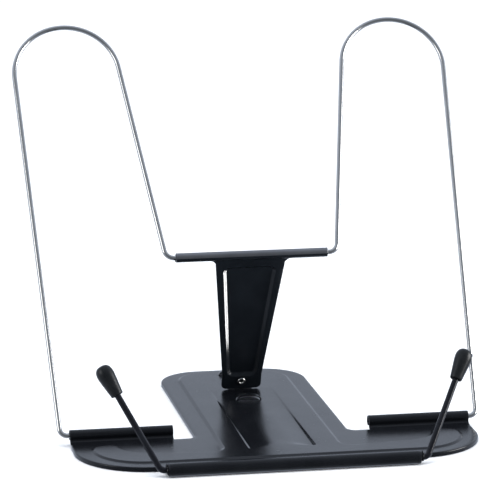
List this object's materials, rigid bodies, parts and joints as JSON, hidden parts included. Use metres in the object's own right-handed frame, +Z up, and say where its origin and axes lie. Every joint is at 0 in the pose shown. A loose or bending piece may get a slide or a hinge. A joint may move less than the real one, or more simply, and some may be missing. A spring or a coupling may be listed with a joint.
{
  "type": "photo album stand",
  "caption": "Folding table stand for an album: T-shaped pressed steel base, leaning wire back frame held by a sheet prop, and page arms with rubber caps.",
  "frame": {"origin": "centre of the bounding box at the table, with the stand in use", "axes": "+X to the right seen from the front, +Y to the back, +Z up"},
  "size_m": [0.3046, 0.2527, 0.254],
  "materials": {
    "base_paint": "semi-gloss black stoving paint on steel sheet",
    "prop_paint": "semi-gloss black stoving paint on steel sheet",
    "hook_paint": "semi-gloss black paint",
    "frame_chrome": "bright chrome plating",
    "rivet_chrome": "bright plated rivet",
    "arm_paint": "semi-gloss black paint on wire",
    "cap_rubber": "satin black soft rubber"
  },
  "bodies": {
    "base": {"base_plate": "base_paint"},
    "frame": {"wire_frame": "frame_chrome"},
    "prop": {"prop_plate": "prop_paint", "foot_hook": "hook_paint", "foot_rivet": "rivet_chrome"},
    "arm_left": {"page_arm_left": "arm_paint", "arm_cap_left": "cap_rubber"},
    "arm_right": {"page_arm_right": "arm_paint", "arm_cap_right": "cap_rubber"}
  },
  "joints": [
    {"name": "frame_fold", "type": "hinge", "parent": "base", "child": "frame", "pos_m": [0, -0.0406, 0.007], "axis": [1, 0, 0], "range_deg": [0, 123]},
    {"name": "prop_swing", "type": "hinge", "parent": "frame", "child": "prop", "pos_m": [0, 0.02705, 0.10805], "axis": [1, 0, 0], "range_deg": [-49.3, 0]},
    {"name": "arm_left_turn", "type": "hinge", "parent": "base", "child": "arm_left", "pos_m": [-0.085, -0.1221, 0.0043], "axis": [-1, 0, 0], "range_deg": [-113, 50]},
    {"name": "arm_right_turn", "type": "hinge", "parent": "base", "child": "arm_right", "pos_m": [0.085, -0.1221, 0.0043], "axis": [-1, 0, 0], "range_deg": [-113, 50]}
  ],
  "couplings": [
    {"joint": "prop_swing", "follows": "frame_fold", "ratio": -0.4}
  ]
}
